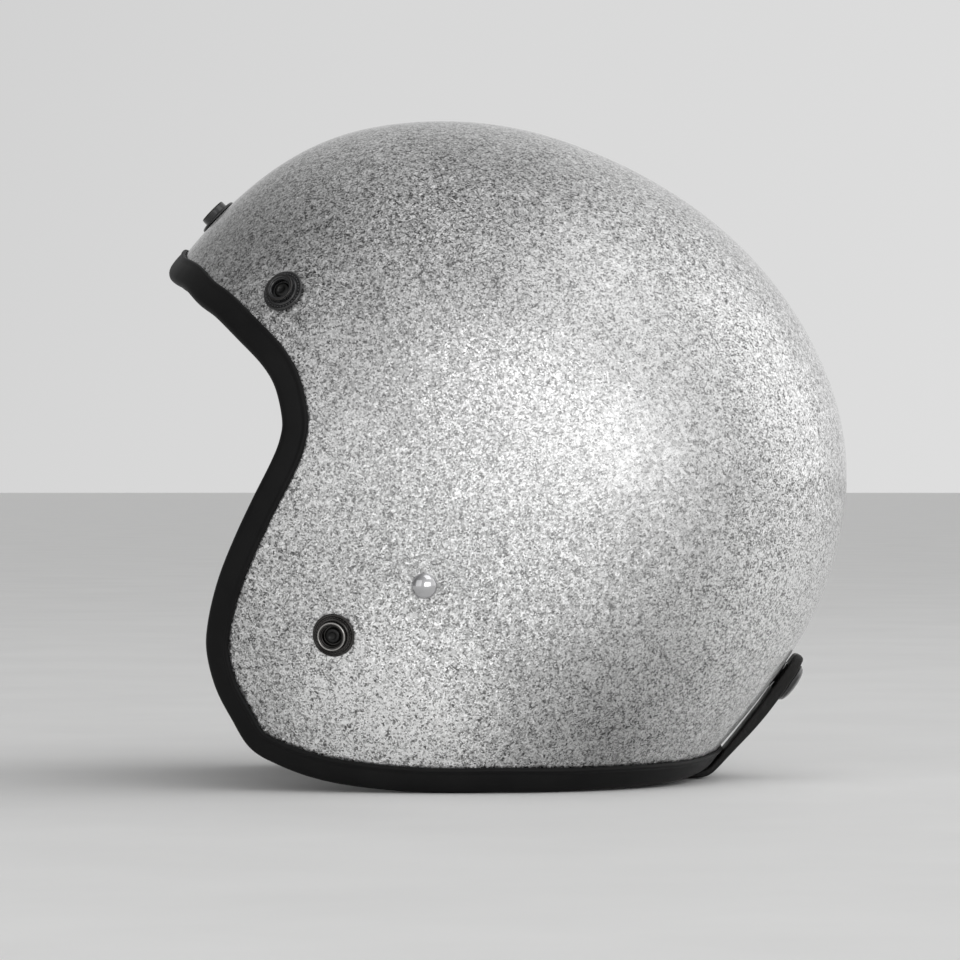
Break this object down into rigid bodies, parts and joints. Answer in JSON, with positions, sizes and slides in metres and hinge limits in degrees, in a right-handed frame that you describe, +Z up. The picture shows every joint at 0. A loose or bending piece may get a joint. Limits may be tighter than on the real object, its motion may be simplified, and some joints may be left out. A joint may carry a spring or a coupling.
{
  "type": "open face motorcycle helmet",
  "caption": "Open face helmet with flaked shell, rubber edge trim, snap studs, padded liner, D-ring chin strap and a snap-down rear strap keeper.",
  "frame": {"origin": "middle of the bounding box, on the surface that the helmet stands on", "axes": "+Z up, the wearer looks along -Y, +X is the wearer's left; the shell is symmetric about the plane X = 0"},
  "size_m": [0.2256, 0.259, 0.2519],
  "materials": {
    "flake_shell": "silver metal flake under a clear coat on fibreglass",
    "edge_rubber": "satin black rubber",
    "liner_foam": "black moulded bead foam",
    "comfort_fabric": "quilted black brushed fabric",
    "leatherette": "black grained leatherette",
    "snap_black": "black enamel over brass, worn at the edges",
    "snap_nickel": "black nickel plate",
    "post_steel": "plain plated steel",
    "rivet_chrome": "polished chrome",
    "keeper_leather": "black strap leather with a stitched edge",
    "ring_steel": "nickel plated steel",
    "webbing": "black woven nylon webbing"
  },
  "bodies": {
    "helmet": {"outer_shell": "flake_shell", "edge_trim": "edge_rubber", "impact_liner": "liner_foam", "crown_liner": "comfort_fabric", "brow_band": "leatherette", "cheek_pad_left": "comfort_fabric", "cheek_pad_right": "comfort_fabric", "neck_roll": "leatherette", "brow_snap_studs": "snap_black", "side_snap_studs": "snap_nickel", "brow_snap_posts": "post_steel", "side_snap_posts": "post_steel", "strap_rivets": "rivet_chrome", "rivet_spacers": "post_steel", "keeper_stud": "snap_black", "keeper_stud_post": "post_steel", "keeper_root": "keeper_leather", "keeper_rivet": "post_steel"},
    "goggle_keeper": {"keeper_strap": "keeper_leather", "keeper_snap_socket": "snap_black", "keeper_snap_cap": "snap_black"},
    "chin_strap": {"strap_hangers": "ring_steel", "chin_strap_short": "webbing", "chin_strap_long": "webbing", "d_ring_inner": "ring_steel", "d_ring_outer": "ring_steel", "chin_pad": "comfort_fabric", "strap_stud": "ring_steel"},
    "tail_flap": {"strap_tail": "webbing", "tail_snap_socket": "ring_steel", "tail_snap_cap": "snap_black"}
  },
  "joints": [
    {"name": "chin_strap_swing", "type": "hinge", "parent": "helmet", "child": "chin_strap", "pos_m": [0, -0.031, 0.076], "axis": [1, 0, 0], "range_deg": [-62, 0]},
    {"name": "goggle_keeper_flap", "type": "hinge", "parent": "helmet", "child": "goggle_keeper", "pos_m": [0, 0.0781, 0.004], "axis": [-1, 0, 0], "range_deg": [0, 48]},
    {"name": "strap_tail_flap", "type": "hinge", "parent": "chin_strap", "child": "tail_flap", "pos_m": [0.06868, 0.0325, 0.01883], "axis": [0, -0.6691, -0.7431], "range_deg": [0, 10]}
  ]
}
